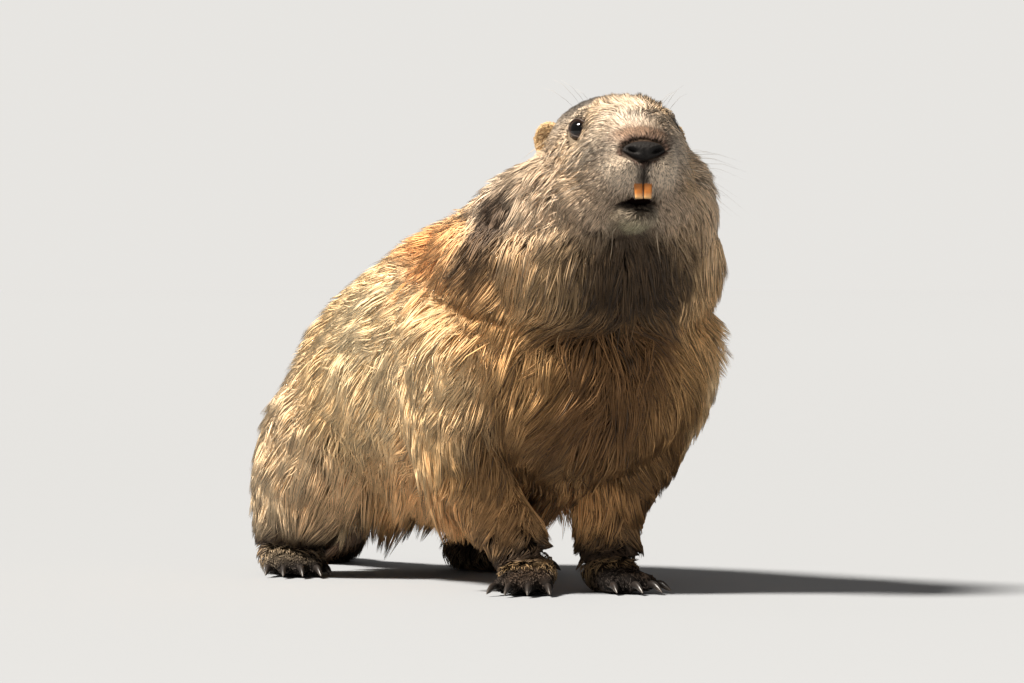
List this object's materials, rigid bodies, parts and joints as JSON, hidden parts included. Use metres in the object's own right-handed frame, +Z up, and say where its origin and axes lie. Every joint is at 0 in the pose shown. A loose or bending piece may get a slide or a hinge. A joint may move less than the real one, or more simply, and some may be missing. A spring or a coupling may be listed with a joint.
{
  "type": "alpine marmot",
  "caption": "Alpine marmot standing still on all fours, head raised and turned, long shaggy coat, tail laid on the floor; a life-size animal figure.",
  "frame": {"origin": "middle of the bounding box in X and Y, on the floor that the animal stands on", "axes": "+Z up, the animal faces -Y, its left side is +X, its tail points to +Y"},
  "size_m": [0.1878, 0.5718, 0.2676],
  "materials": {
    "fur_head": "matt fur",
    "fur_back": "matt fur",
    "fur_chest": "matt fur",
    "fur_leg": "matt fur",
    "fur_tail": "matt fur",
    "ear_skin": "matt short fur",
    "foot_skin": "dark short fur, dark claws",
    "nose_skin": "moist",
    "eye": "wet",
    "tooth": "enamel"
  },
  "bodies": {
    "root": {"head": "fur_head", "lower_jaw": "fur_head", "nose": "nose_skin", "incisor_left": "tooth", "incisor_right": "tooth", "eye_left": "eye", "eye_right": "eye", "ear_left": "ear_skin", "ear_right": "ear_skin", "neck": "fur_chest", "torso": "fur_back", "foreleg_left": "fur_leg", "foreleg_right": "fur_leg", "forefoot_left": "foot_skin", "forefoot_right": "foot_skin", "hindleg_left": "fur_leg", "hindleg_right": "fur_leg", "hindfoot_left": "foot_skin", "hindfoot_right": "foot_skin", "tail": "fur_tail"}
  },
  "joints": []
}
